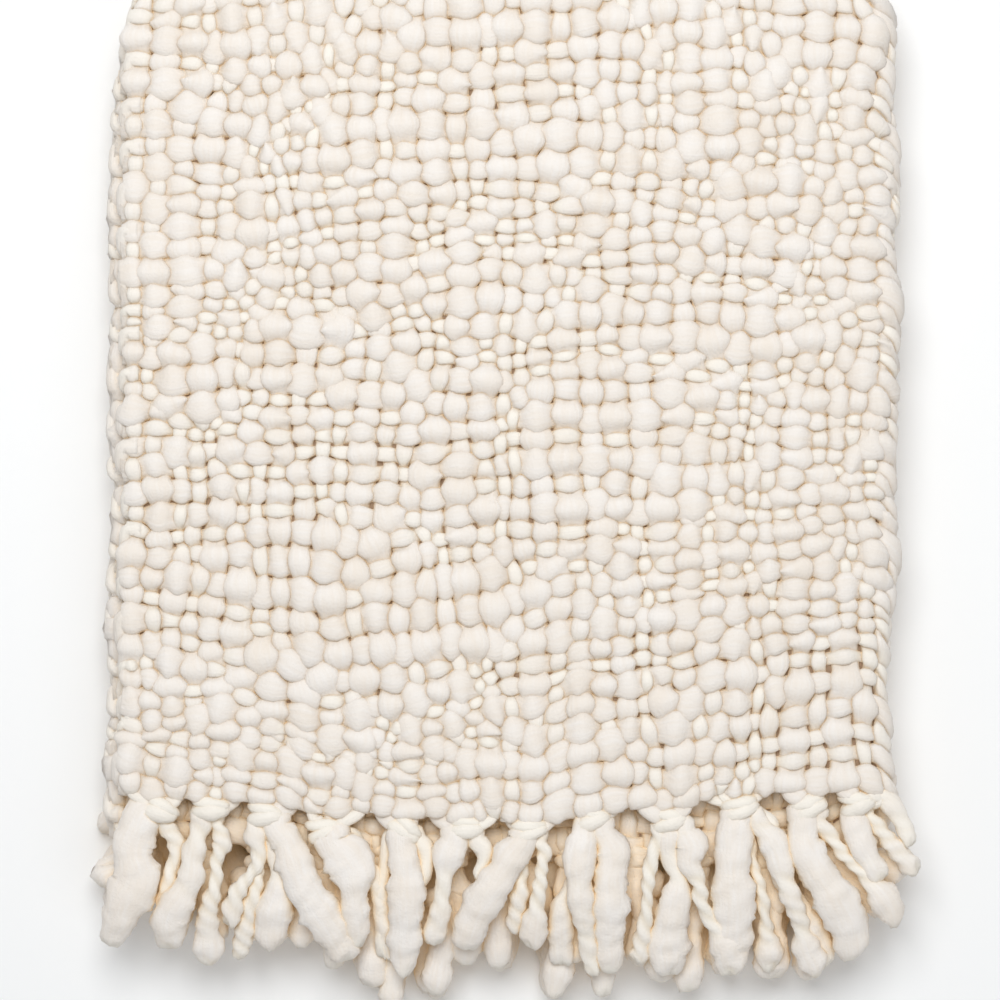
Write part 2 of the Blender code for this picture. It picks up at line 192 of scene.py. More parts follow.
# The top layer's strands. Columns: knot, twist, lift over the usual height, and the strand's rows of
# across, past the end and width
FRONT_STRANDS = [
    (0, 0.0, 1, [(24, 13, 22), (16, 39, 32), (19, 64, 39), (10, 86, 37), (2, 105, 27), (-5, 123, 14)]),
    (0, 0.8, -3, [(42, 21, 15), (49, 31, 16), (51, 42, 16), (48, 54, 12), (44, 70, 14), (40, 92, 18),
     (38, 106, 14)]),
    (1, 0.9, 3, [(71, 21, 13), (67, 35, 16), (64, 50, 19), (63, 64, 23), (55, 80, 25), (46, 97, 30),
     (45, 112, 29), (44, 125, 18)]),
    (1, 1.0, 1, [(84, 21, 14), (88, 35, 16), (83, 50, 12), (83, 64, 13), (80, 78, 14), (76, 94, 18),
     (75, 110, 23), (75, 126, 23), (73, 140, 15)]),
    (2, 0.9, 2, [(115, 29, 19), (117, 43, 16), (116, 54, 14), (107, 66, 11), (99, 78, 16), (95, 93, 20),
     (94, 106, 15)]),
    (2, 0.9, -2, [(118, 40, 13), (116, 64, 11), (114, 76, 13), (110, 89, 16), (105, 110, 17),
     (101, 128, 15), (99, 136, 10)]),
    (2, 0.0, -1, [(131, 40, 14), (134, 60, 17), (134, 73, 22), (129, 93, 30), (126, 112, 30),
     (127, 126, 20)]),
    (2, 0.0, 6, [(132, 23, 18), (141, 35, 27), (147, 52, 29), (154, 70, 33), (168, 93, 33),
     (180, 113, 32), (187, 127, 25), (188, 135, 15)]),
    (3, 0.0, 5, [(178, 35, 24), (188, 46, 42), (195, 60, 36), (196, 78, 25), (197, 97, 23),
     (198, 112, 19), (198, 125, 12)]),
    (3, 0.5, -4, [(200, 48, 16), (214, 70, 16), (220, 100, 17), (224, 125, 18), (226, 136, 12)]),
    (4, 0.0, 5, [(235, 34, 18), (237, 47, 24), (239, 64, 29), (239, 86, 31), (238, 110, 29),
     (237, 132, 24), (236, 150, 14)]),
    (4, 0.0, -1, [(249, 32, 15), (255, 42, 16), (255, 56, 13), (250, 75, 12)]),
    (4, 0.0, -4, [(222, 50, 11), (219, 76, 13), (219, 110, 14), (219, 134, 10)]),
    (5, 0.5, 4, [(279, 33, 25), (273, 48, 25), (271, 64, 17), (269, 78, 14), (267, 95, 18),
     (263, 110, 22), (262, 122, 17)]),
    (5, 0.0, 1, [(297, 33, 17), (304, 41, 17), (303, 52, 12), (297, 66, 10)]),
    (6, 0.0, 4, [(336, 34, 19), (326, 46, 26), (318, 60, 30), (305, 80, 31), (295, 99, 31),
     (290, 115, 28), (288, 126, 17)]),
    (6, 1.0, -3, [(338, 46, 10), (335, 64, 12), (333, 80, 17), (330, 99, 18), (329, 113, 13)]),
    (6, 1.0, 2, [(350, 34, 16), (354, 43, 15), (352, 52, 11), (351, 64, 12), (349, 78, 14),
     (347, 93, 19), (345, 110, 23), (344, 125, 17)]),
    (7, 0.5, 4, [(387, 29, 21), (383, 46, 28), (383, 64, 25), (384, 83, 21), (387, 99, 19),
     (390, 118, 17), (393, 137, 14), (395, 149, 9)]),
    (7, 0.0, 2, [(402, 26, 18), (411, 42, 25), (409, 64, 29), (409, 86, 30), (408, 110, 28),
     (408, 131, 23), (408, 147, 14)]),
    (7, 0.0, -5, [(382, 60, 14), (370, 85, 16), (368, 102, 21), (368, 120, 23), (369, 140, 15)]),
    (8, 1.0, 2, [(449, 33, 17), (443, 49, 14), (440, 70, 12), (439, 90, 12), (437, 110, 15),
     (434, 128, 20), (433, 138, 13)]),
    (8, 0.2, 1, [(458, 46, 13), (465, 65, 16), (463, 84, 26), (459, 106, 32), (457, 128, 35),
     (458, 148, 20)]),
    (8, 0.9, 5, [(470, 27, 18), (476, 38, 24), (474, 52, 22), (482, 68, 15), (484, 84, 13),
     (492, 100, 15), (502, 115, 23), (509, 131, 29), (509, 148, 17)]),
    (9, 0.0, 2, [(513, 19, 20), (511, 39, 31), (510, 61, 32), (511, 84, 37), (511, 106, 36),
     (510, 127, 30), (511, 147, 17)]),
    (9, 1.0, -3, [(526, 45, 10), (533, 71, 12), (537, 90, 12), (539, 109, 15), (542, 128, 23),
     (542, 147, 14)]),
    (9, 0.9, 5, [(530, 17, 19), (542, 32, 24), (549, 51, 22), (554, 68, 20), (560, 84, 18),
     (567, 103, 17), (572, 122, 23), (579, 138, 23), (582, 150, 13)]),
    (9, 0.0, -5, [(545, 50, 14), (562, 84, 18), (577, 108, 24), (587, 128, 22), (590, 142, 13)]),
    (10, 0.0, 4, [(569, 17, 20), (569, 36, 27), (580, 58, 31), (594, 80, 35), (606, 103, 37),
     (610, 122, 27), (611, 135, 14)]),
    (10, 1.0, 2, [(581, 18, 16), (592, 30, 11), (602, 45, 11), (617, 60, 13), (630, 74, 21),
     (639, 87, 28), (644, 99, 21), (644, 106, 12)]),
    (11, 0.2, 3, [(611, 17, 23), (618, 39, 24), (625, 52, 21), (634, 66, 16)]),
    (11, 0.9, 1, [(623, 12, 12), (631, 22, 15), (639, 33, 17), (649, 44, 17), (657, 54, 20),
     (663, 61, 15)]),
    (11, 0.3, 4, [(632, -4, 16), (642, 4, 18), (649, 16, 17), (655, 29, 14), (657, 38, 9)]),
]

# Where the lower layers' strands lie. Columns: across, how far past the top layer's end they reach
LANES = [
    (-20, 34), (-12, 73), (12, 95), (47, 112), (74, 125), (104, 118), (126, 120), (152, 122), (178, 145),
    (211, 160), (224, 170), (261, 170), (286, 138), (317, 148), (362, 170), (383, 140), (403, 163),
    (433, 138), (454, 150), (476, 160), (508, 149), (545, 150), (578, 149), (606, 128), (638, 98),
    (659, 60),
]

# The weave: warps run along the cloth and wefts across it
WARPS = 70
WEFTS = 87
WARP_MARGIN = 0.0140
WEFT_MARGIN = 0.0085
WARP_PITCH = (CLOTH_WIDTH - 2 * WARP_MARGIN) / (WARPS - 1)
WEFT_PITCH = (CLOTH_LENGTH - 2 * WEFT_MARGIN) / (WEFTS - 1)
YARN_HALF_WIDTH = 0.0099
YARN_HALF_THICKNESS = 0.0064
THICKNESS_POWER = 0.55

# Thick and thin places. Lengths are in crossings, and sizes are shares of the usual thickness
SLUB_SPREAD = 0.50
SHORT_SLUBS = 0.65
LONG_SLUBS = 2.4
LONG_SHARE = 0.30
THINNEST = 0.42
FATTEST = 1.60
LEAST_COVER = 0.37
LAST_WEFT = 1.0

# How firmly the yarns push each other aside
CROWDING = 0.85
LENGTHENING = 0.40
FIRMNESS = 0.18
TETHER = 0.020
EDGE_TETHER = 3.0

# How rows wander and slope, over how many crossings, and how near the edges they are calm
WANDER = 0.0060
WANDER_REACH = 5.0
ROW_WANDER = 0.0040
ROW_WANDER_REACH = 4.5
ROW_SLOPE = 0.0170
ROW_SLOPE_REACH = 9.0
CALM_WARPS = 4
CALM_WEFTS = 7

# How a yarn goes over and under, as shares of its size, and narrows in between
CROSSING_LIFT = 0.78
FLOAT_FLATNESS = 0.80
WAIST = 0.765
WAIST_SHARPNESS = 2.4
DIVE_WIDTH = 0.80

# Droop to the knots
SCALLOP = 0.0060
SCALLOP_LEVEL = 0.35
SCALLOP_REACH = 0.015
SCALLOP_DEPTH = 0.040

# How far the faces may stand out from the middle
INNER_LIMIT = 0.0118
OUTER_LIMIT = 0.0142
FLOOR_LIMIT = 0.0102

# Yarns up to this share of the usual width are lighter
FINE_YARN = 0.44
FINE_SPAN = 0.42

# Rings of a yarn from one crossing to the next: where it shows most, where it shows less, elsewhere
FLOAT_STEPS = (-0.5, -0.42, -0.30, -0.12, 0.12, 0.30, 0.42)
COARSE_FLOAT_STEPS = (-0.5, -0.19, 0.19)
HIDDEN_STEPS = (-0.5, 0)

# How many wefts show on the front, warps on the outer layers, and wefts at the hem's inner side
FRONT_ROWS = 47
OUTER_WARPS = 36
HEM_ROWS = 5

# Sections of the yarns. A power of 2 is an ellipse, and a high one is nearly a rectangle
SECTION_POWER = 2.6
ROUND_POWER = 2.4

# Turns at the selvedges. The start is from the last warp, the middle and flank from the cloth's edge.
# Columns of the sizes: half width, half thickness
TURN_START = 0.004
TURN_MIDDLE = 0.0062
TURN_FLANK = 0.0078
TURN_LIFT = 0.0040
TURN_SIZES = [(0.0070, 0.0060), (0.0066, 0.0060), (0.0062, 0.0062), (0.0066, 0.0060), (0.0070, 0.0060)]
TURN_RINGS = 15

# Ends gathered into the knots. Each has four places, from the last weft to the knot
GATHER_SHARES = (0, 0.10, 0.55, 0.9)
GATHER_START = 0.008
GATHER_HEM = 0.0055
GATHER_RISE = 0.002
GATHER_STAGGER = 0.0015
GATHER_POWER = 0.6
GATHER_SIZES = [(0.0060, 0.0050), (0.0062, 0.0056), (0.0062, 0.0056), (0.0036, 0.0036)]
GATHER_RINGS = 12

# Warm shade in the creases. A grid finds them, and they set in some way below the surface
CREASE_CELL = 0.0025
CREASE_MARGIN = 10
CREASE_REACH = 1.6
CREASE_START = 0.0036
CREASE_SPAN = 0.0070

# The sheet in the middle of the cloth, whose dark brown is painted shade
GROUND_MARGIN_ACROSS = 0.010
GROUND_MARGIN_ALONG = 0.006
GROUND_PLACES = (75, 83)
GROUND_HALF_THICKNESS = 0.0008


def smooth(share):
    """0 up to 0, 1 from 1, and a soft step between them."""
    share = np.clip(share, 0, 1)
    return share * share * (3 - 2 * share)


def read_table(at, rows):
    """A two-column table in millimetres, read at places in metres, with soft steps between its rows."""
    table = np.array(rows, float) / 1000
    index = np.clip(np.searchsorted(table[:, 0], at) - 1, 0, len(table) - 2)
    low, high = table[index], table[index + 1]
    share = smooth((at - low[..., 0]) / (high[..., 0] - low[..., 0]))
    return low[..., 1] + (high[..., 1] - low[..., 1]) * share


def fold(u, v, n):
    """Where a point of the cloth comes to lie, squarely folded. Returns x, y, z and the point's height
    over the first fold's middle, which is above 0 on the outer layers and below it on the inner ones."""
    front_pull = 1 - smooth(v / HEM_PULL)
    back_pull = 1 - smooth((CLOTH_LENGTH - v) / HEM_PULL)
    v = v - read_table(u, FRONT_HEM) * front_pull + read_table(u, BACK_HEM) * back_pull
    turn = np.clip((u - SIDE_FOLD_START) / HALF_PITCH, 0, math.pi)
    past_side_fold = np.maximum(SIDE_FOLD_START - u, 0) + np.maximum(u - SIDE_FOLD_END, 0)
    x = (HALF_PITCH + n) * np.sin(turn) - past_side_fold * np.sign(SIDE_FOLD_START + SIDE_FOLD_END)
    above = (HALF_PITCH + n) * np.cos(turn)
    radius = TOP_FOLD_RADIUS + above
    middle_radius = TOP_FOLD_RADIUS + HALF_PITCH * np.cos(turn)
    run = v - CLOTH_LENGTH / 2
    turn = np.clip(run / middle_radius, -math.pi / 2, math.pi / 2)
    past_top_fold = np.maximum(np.abs(run) - middle_radius * math.pi / 2, 0)
    y = radius * np.cos(turn) - past_top_fold
    z = MID_HEIGHT - radius * np.sin(turn)
    return x, y, z, above


def lie_down(x, y, z, above):
    """Gives squarely folded points the throw's uneven outline and slight waves."""
    down = TOP_EDGE - y
    pinch = CORNER_PINCH * np.clip(1 - down / PINCH_SPAN, 0, 1) ** 2
    at_right = smooth((x - RIGHT_EDGE + EDGE_BAND) / EDGE_BAND)
    at_left = smooth((LEFT_EDGE + EDGE_BAND - x) / EDGE_BAND)
    tuck = INNER_TUCK * (1 - smooth(down / TUCK_SPAN)) * smooth(0.5 - above / HALF_PITCH)
    x = x + at_right * (read_table(down, RIGHT_WAVE) - pinch)
    x = x - at_left * (read_table(down, LEFT_WAVE) - pinch - tuck)
    wave = 0
    for share, across, up, phase in WAVES:
        wave = wave + share * np.sin(math.tau * (across * x + up * y) + phase)
    return x, y, z * (1 + wave)


def model_shift():
    """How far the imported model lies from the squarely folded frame."""
    along = np.linspace(0, CLOTH_LENGTH, 200)
    across = np.full_like(along, (SIDE_FOLD_START + SIDE_FOLD_END) / 2)
    x, _, _ = lie_down(*fold(across, along, CLOTH_THICKNESS / 2))
    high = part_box("blanket_cloth")[1]
    return high.x - x.max(), high.y - TOP_EDGE


SHIFT_X, SHIFT_Y = model_shift()


def set_down(x, y, z, above):
    """Squarely folded points, lain down in the model's place and kept off the floor."""
    x, y, z = lie_down(x, y, z, above)
    return np.stack([x + SHIFT_X, y + SHIFT_Y, np.maximum(z, FLOOR_GAP)], axis=-1)


def place(u, v, n):
    """Where points of the flat cloth come to lie in the folded throw."""
    return set_down(*fold(u, v, n))


def square_end(above):
    """y of a layer's square end, squarely folded."""
    return -(CLOTH_LENGTH / 2 - (TOP_FOLD_RADIUS + above) * math.pi / 2)


# Meshes


def add_mesh(name, points, faces, **attributes):
    """A smooth mesh object. faces is a list of arrays, each with one row of corners for each face, and
    attributes are values for each point, of which yarn holds vectors."""
    mesh = bpy.data.meshes.new(name)
    mesh.vertices.add(len(points))
    mesh.vertices.foreach_set("co", np.ascontiguousarray(points, np.float32).ravel())
    corners = np.concatenate([group.ravel() for group in faces])
    sizes = np.concatenate([np.full(len(group), group.shape[1]) for group in faces])
    mesh.loops.add(len(corners))
    mesh.loops.foreach_set("vertex_index", corners.astype(np.int32))
    mesh.polygons.add(len(sizes))
    starts = np.concatenate([[0], np.cumsum(sizes)[:-1]])
    mesh.polygons.foreach_set("loop_start", starts.astype(np.int32))
    mesh.update(calc_edges=True)
    for key, values in attributes.items():
        kind, field = ("FLOAT_VECTOR", "vector") if key == "yarn" else ("FLOAT", "value")
        attribute = mesh.attributes.new(key, kind, "POINT")
        attribute.data.foreach_set(field, np.ascontiguousarray(values, np.float32).ravel())
    mesh.shade_smooth()
    piece = bpy.data.objects.new(name, mesh)
    bpy.context.scene.collection.objects.link(piece)
    return piece


def tube_faces(tubes, rings, sides):
    """Faces of closed tubes, whose points come tube by tube and ring by ring."""
    index = np.arange(tubes * rings * sides).reshape(tubes, rings, sides)
    here, after = index[:, :-1], index[:, 1:]
    quads = np.stack([here, np.roll(here, -1, axis=2), np.roll(after, -1, axis=2), after], axis=-1)
    return [quads.reshape(-1, 4), index[:, 0, ::-1].reshape(-1, sides), index[:, -1].reshape(-1, sides)]


def read_along(values, t):
    """Smooth curve through each row of values, one a whole step, read at t."""
    last = values.shape[-1] - 1
    start = np.clip(np.floor(t).astype(int), 0, last - 1)
    share = t - start
    before = values[..., np.maximum(start - 1, 0)]
    here = values[..., start]
    there = values[..., start + 1]
    beyond = values[..., np.minimum(start + 2, last)]
    first_slope = np.where(start == 0, there - here, (there - before) / 2)
    last_slope = np.where(start == last - 1, there - here, (beyond - here) / 2)
    square, cube = share**2, share**3
    return (
        (2 * cube - 3 * square + 1) * here
        + (cube - 2 * square + share) * first_slope
        + (3 * square - 2 * cube) * there
        + (cube - square) * last_slope
    )


def superellipse(degrees, power):
    """Points of a section between an ellipse and a rectangle, at these angles."""
    angles = np.radians(np.array(degrees, float))
    cos, sin = np.cos(angles), np.sin(angles)
    bulge = 2 / power
    return np.stack([np.sign(cos) * np.abs(cos) ** bulge, np.sign(sin) * np.abs(sin) ** bulge], axis=-1)


# The weave, laid out flat


def bell(reach, margin):
    """A bell curve of this reach, read at whole steps out to the margin on both sides."""
    return np.exp(-0.5 * (np.arange(-margin, margin + 1) / reach) ** 2)


def soften(rows, kernel):
    """Each row softened by a bell curve."""
    return np.array([np.convolve(row, kernel, "valid") for row in rows])


def slubs(rng, yarns, places):
    """How thick yarns are at each crossing, as a share of the usual thickness."""
    along = 0
    for reach, share in ((SHORT_SLUBS, 1 - LONG_SHARE), (LONG_SLUBS, LONG_SHARE)):
        margin = int(3 * reach) + 1
        noise = rng.normal(size=(yarns, places + 2 * margin))
        kernel = bell(reach, margin)
        kernel *= math.sqrt(share / (kernel**2).sum())
        along = along + soften(noise, kernel)
    return np.clip(np.exp(SLUB_SPREAD * along), THINNEST, FATTEST)


def soft_field(rng, columns, rows, reach):
    """A slowly changing field over the crossings, with a spread of 1."""
    margin = int(3 * reach)
    noise = rng.normal(size=(columns + 2 * margin, rows + 2 * margin))
    kernel = bell(reach, margin)
    kernel /= np.sqrt((kernel**2).sum())
    return soften(soften(noise, kernel).T, kernel).T


def crowd(thickness, crossing_floats, pitch, margin, rounds=500):
    """Where yarns come to lie at each crossing when thick stretches push their neighbours away. Each
    row of thickness is a yarn. crossing_floats is the thickness of the yarn across that floats between
    two neighbours and holds them apart."""
    yarns, _ = thickness.shape
    push = CROWDING * ((thickness[:-1] + thickness[1:]) / 2 - 1) + LENGTHENING * (crossing_floats - 1)
    wanted = pitch * (1 + push)
    even = np.repeat((margin + pitch * np.arange(yarns))[:, None], thickness.shape[1], axis=1)
    tether = np.full((yarns, 1), TETHER)
    tether[[0, -1]] = EDGE_TETHER
    spot = even.copy()
    for _ in range(rounds):
        total = tether * even
        weight = np.repeat(tether, thickness.shape[1], axis=1)
        total[1:] += spot[:-1] + wanted
        weight[1:] += 1
        total[:-1] += spot[1:] - wanted
        weight[:-1] += 1
        total[:, 1:] += FIRMNESS * spot[:, :-1]
        weight[:, 1:] += FIRMNESS
        total[:, :-1] += FIRMNESS * spot[:, 1:]
        weight[:, :-1] += FIRMNESS
        spot = total / weight
    return spot


def from_edge(count):
    """How many yarns each one is from the nearer edge."""
    return np.minimum(np.arange(count), count - 1 - np.arange(count))


def lay_out_weave():
    """Where the yarns cross on the flat cloth, and how thick they are there, in a row for each warp
    and a column for each weft."""
    rng = np.random.default_rng(5)
    warp_size = slubs(rng, WARPS, WEFTS)
    weft_size = slubs(rng, WEFTS, WARPS).T
    warp_is_up = (np.arange(WARPS)[:, None] + np.arange(WEFTS)[None, :]) % 2 == 0
    weft_floats = np.where(warp_is_up[1:], weft_size[:-1], weft_size[1:])
    warp_floats = np.where(warp_is_up[:, 1:], warp_size[:, 1:], warp_size[:, :-1])
    u = crowd(warp_size, weft_floats, WARP_PITCH, WARP_MARGIN)
    v = crowd(weft_size.T, warp_floats.T, WEFT_PITCH, WEFT_MARGIN).T
    inside = smooth(from_edge(WARPS) / CALM_WARPS)[:, None]
    u = u + inside * WANDER * soft_field(rng, WARPS, WEFTS, WANDER_REACH)
    inside = smooth(from_edge(WEFTS) / CALM_WEFTS)[None, :]
    v = v + inside * ROW_WANDER * soft_field(rng, WARPS, WEFTS, ROW_WANDER_REACH)
    v = v + inside * ROW_SLOPE * soft_field(rng, WARPS, WEFTS, ROW_SLOPE_REACH)
    warp_size = np.maximum(warp_size, LEAST_COVER * np.gradient(u, axis=0) / YARN_HALF_WIDTH)
    weft_size = np.maximum(weft_size, LEAST_COVER * np.gradient(v, axis=1) / YARN_HALF_WIDTH)
    weft_size[:, [0, -1]] = np.maximum(weft_size[:, [0, -1]], LAST_WEFT)
    return u, droop_to_knots(u, v), warp_size, weft_size


# The knots' places across the cloth
TOP_KNOTS = np.array([row[0] for row in KNOTS]) / 1000
OUTER_BACK_KNOTS = np.arange(KNOT_MARGIN, SIDE_FOLD_START, KNOT_PITCH)
INNER_KNOTS = np.arange(CLOTH_WIDTH - KNOT_MARGIN, SIDE_FOLD_END + KNOT_FOLD_GAP, -KNOT_PITCH)[::-1]
FRONT_KNOTS = np.concatenate([TOP_KNOTS, INNER_KNOTS])
BACK_KNOTS = np.concatenate([OUTER_BACK_KNOTS, INNER_KNOTS])


def nearest(places, knots):
    """The knot nearest to each place."""
    return knots[np.abs(places[..., None] - knots).argmin(axis=-1)]


def droop_to_knots(u, v):
    """The crossings' v, with the last rows drawn towards the knots."""
    drooped = v
    for knots, from_end, way in ((FRONT_KNOTS, v, -1), (BACK_KNOTS, CLOTH_LENGTH - v, 1)):
        away = u - nearest(u, knots)
        pull = SCALLOP * (np.exp(-((away / SCALLOP_REACH) ** 2)) - SCALLOP_LEVEL)
        drooped = drooped + way * pull * (1 - smooth(from_end / SCALLOP_DEPTH))
    return drooped


CROSSING_U, CROSSING_V, WARP_SIZE, WEFT_SIZE = lay_out_weave()


def half_thickness(size):
    """Half of a yarn's thickness, which changes less than its width."""
    return YARN_HALF_THICKNESS * size**THICKNESS_POWER


def float_samples(crossings, first_is_up, fine_until, coarse_until):
    """Places along a yarn, in crossings, and closer together where it shows."""
    samples = []
    for crossing in range(crossings):
        up = (crossing % 2 == 0) == first_is_up
        if up and crossing < fine_until:
            steps = FLOAT_STEPS
        elif up and crossing < coarse_until:
            steps = COARSE_FLOAT_STEPS
        else:
            steps = HIDDEN_STEPS
        samples += [crossing + step for step in steps]
    return np.array([*samples, crossings - 0.5])


def sweep(u, v, n, half_width, half_thick, section):
    """Points of tubes along paths over the cloth, one path a row. Returns the points' u, v, n, the
    place along, around and number that the wool's fibres follow, and how fine the yarn is."""
    along_u, along_v = np.gradient(u, axis=1), np.gradient(v, axis=1)
    length = np.hypot(along_u, along_v) + 1e-9
    run = np.cumsum(length, axis=1)
    side_u, side_v = -along_v / length, along_u / length
    offset = half_width[..., None] * section[:, 0]
    points_u = u[..., None] + offset * side_u[..., None]
    points_v = v[..., None] + offset * side_v[..., None]
    points_n = n[..., None] + half_thick[..., None] * section[:, 1]
    around = np.broadcast_to(np.arange(len(section)) / len(section), points_n.shape)
    which = np.broadcast_to(np.arange(len(u))[:, None, None], points_n.shape)
    yarn = np.stack([np.broadcast_to(run[..., None], points_n.shape), around, which], axis=-1)
    fine = 1 - smooth((half_width / YARN_HALF_WIDTH - FINE_YARN) / FINE_SPAN)
    return points_u, points_v, points_n, yarn, np.broadcast_to(fine[..., None], points_n.shape)


def weave_tubes(t, u_path, v_path, own_size, other_size, up_phase, section):
    """Yarns that weave over and under. The paths and sizes have a row for each yarn and a column for
    each crossing."""
    u, v = read_along(u_path, t), read_along(v_path, t)
    size = np.clip(read_along(own_size, t), THINNEST, FATTEST)
    other = np.clip(read_along(other_size, t), THINNEST, FATTEST)
    swing = np.cos(math.pi * t) * up_phase
    side = np.sign(swing) * np.abs(swing) ** FLOAT_FLATNESS
    n = side * CROSSING_LIFT * half_thickness(other)
    between = np.abs(np.sin(math.pi * t)) ** WAIST_SHARPNESS
    widest = np.where(swing > 0, 1, DIVE_WIDTH)
    half_width = YARN_HALF_WIDTH * size * (widest + (WAIST - widest) * between)
    return sweep(u, v, n, half_width, half_thickness(size), section)


def control_tubes(u, v, n, sizes, scale, rings, section):
    """Tubes through a few control points. u, v and n have one value for each point, either the same for
    all tubes or an array of theirs. sizes are half widths and half thicknesses, for a scale of 1."""
    half_width, half_thick = [[value * scale for value in column] for column in zip(*sizes)]
    rows = [np.stack(np.broadcast_arrays(*row), axis=1) for row in (u, v, n, half_width, half_thick)]
    t = np.linspace(0, len(sizes) - 1, rings)
    return sweep(*[read_along(row, t) for row in rows], section)


OUTER_SECTION = superellipse([0, 20, 44, 72, 108, 136, 160, 180, 225, 270, 315], SECTION_POWER)
BACK_SECTION = superellipse([0, 40, 80, 100, 140, 180, 235, 305], SECTION_POWER)
ROUND_SECTION = superellipse([0, 45, 90, 135, 180, 225, 270, 315], ROUND_POWER)
INNER_SECTION = superellipse([0, 60, 120, 180, 240, 300], ROUND_POWER)


def limit_height(u, v, n):
    """Presses the faces flat where layers lie on each other and on the floor."""
    outer = u < CLOTH_WIDTH / 2
    front = v < CLOTH_LENGTH / 2 + TOP_FOLD_RADIUS
    highest = np.where(outer, np.where(front, OUTER_LIMIT, FLOOR_LIMIT), INNER_LIMIT)
    return np.clip(n, -INNER_LIMIT, highest)


def woven_yarns():
    """The warps and wefts, in groups. Each is its name and what sweep returns."""
    along = CROSSING_U, CROSSING_V, WARP_SIZE, WEFT_SIZE
    across = CROSSING_U.T, CROSSING_V.T, WEFT_SIZE.T, WARP_SIZE.T
    on_outer = OUTER_WARPS + 1
    groups = []
    for name, way, crossings, first, last, fine_until, coarse_until, section in (
        ("warp_outer", 1, along, 0, OUTER_WARPS, FRONT_ROWS, WEFTS, OUTER_SECTION),
        ("warp_inner", 1, along, OUTER_WARPS, WARPS, 0, HEM_ROWS, INNER_SECTION),
        ("weft_front", -1, across, 0, FRONT_ROWS, on_outer, on_outer, OUTER_SECTION),
        ("weft_back", -1, across, FRONT_ROWS, WEFTS, 0, on_outer, BACK_SECTION),
    ):
        for odd in (0, 1):
            yarns = np.arange(first, last)
            yarns = yarns[yarns % 2 == odd]
            up_phase = way * (1 - 2 * odd)
            t = float_samples(crossings[0].shape[1], up_phase > 0, fine_until, coarse_until)
            tubes = weave_tubes(t, *[values[yarns] for values in crossings], up_phase, section)
            groups.append((f"{name}_{odd}", *tubes))
    return groups


def selvedge_turns():
    """Where each weft turns round the outermost warp into the next weft."""
    groups = []
    for side, edge, way, first in (("left", 0, 1, 0), ("right", -1, -1, 1)):
        here = np.arange(first, WEFTS - 1, 2)
        there = here + 1
        v_here, v_there = CROSSING_V[edge, here], CROSSING_V[edge, there]
        start = CROSSING_U[edge] + way * TURN_START
        outside = 0.0 if way > 0 else CLOTH_WIDTH
        turn = outside + way * TURN_MIDDLE
        flank = outside + way * TURN_FLANK
        middle = (v_here + v_there) / 2
        scale = np.sqrt((WEFT_SIZE[edge, here] + WEFT_SIZE[edge, there]) / 2)
        up_here = (here + (WARPS - 1 if edge else 0)) % 2 == 1
        lift = np.where(up_here, 1, -1) * TURN_LIFT
        u = start[here], flank, turn, flank, start[there]
        v = v_here, v_here * 0.9 + middle * 0.1, middle, v_there * 0.9 + middle * 0.1, v_there
        n = lift, lift * 0.8, lift * 0, -lift * 0.8, -lift
        tubes = control_tubes(u, v, n, TURN_SIZES, scale, TURN_RINGS, ROUND_SECTION)
        groups.append((f"selvedge_{side}", *tubes))
    return groups


def gathered_ends():
    """The warps' ends past the last weft, gathered into the knots."""
    groups = []
    for end, row, knots, way in (("front", 0, FRONT_KNOTS, -1), ("back", -1, BACK_KNOTS, 1)):
        start, last = CROSSING_U[:, row], CROSSING_V[:, row]
        knot = nearest(start, knots)
        hem = 0 if way < 0 else CLOTH_LENGTH
        scale = WARP_SIZE[:, row] ** GATHER_POWER
        rank = np.where(np.arange(WARPS) % 2 == 0, 1, -1) * GATHER_STAGGER
        u = [start + share * (knot - start) for share in GATHER_SHARES]
        v = last, last + way * GATHER_START, hem + way * GATHER_HEM, hem + way * KNOT_DROP
        n = rank * 0, rank, GATHER_RISE + rank, rank
        tubes = control_tubes(u, v, n, GATHER_SIZES, scale, GATHER_RINGS, OUTER_SECTION)
        groups.append((f"gathered_{end}", *tubes))
    return groups


def blur(grid, reach):
    """A grid softened by a bell curve of this reach, in cells."""
    margin = int(3 * reach)
    kernel = bell(reach, margin)
    kernel /= kernel.sum()
    for _ in range(2):
        padded = np.pad(grid, ((0, 0), (margin, margin)), mode="edge")
        grid = sum(share * padded[:, at : at + grid.shape[1]] for at, share in enumerate(kernel)).T
    return grid


def spread(grid):
    """Each cell's highest neighbour."""
    for _ in range(2):
        padded = np.pad(grid, ((0, 0), (1, 1)), mode="edge")
        grid = np.maximum(np.maximum(padded[:, :-2], padded[:, 2:]), grid).T
    return grid


def surface_height(groups, way):
    """How high one face of the weave stands over the cloth's middle, softened, on a grid."""
    cells_across = int(CLOTH_WIDTH / CREASE_CELL) + 2 * CREASE_MARGIN
    cells_along = int(CLOTH_LENGTH / CREASE_CELL) + 2 * CREASE_MARGIN
    grid = np.zeros((cells_across, cells_along))
    for _, u, v, n, *_ in groups:
        np.maximum.at(grid, grid_cell(u, v), way * n)
    return blur(spread(grid), CREASE_REACH)


def grid_cell(u, v):
    """The cells of that grid in which points lie."""
    return (u / CREASE_CELL + CREASE_MARGIN).astype(int), (v / CREASE_CELL + CREASE_MARGIN).astype(int)


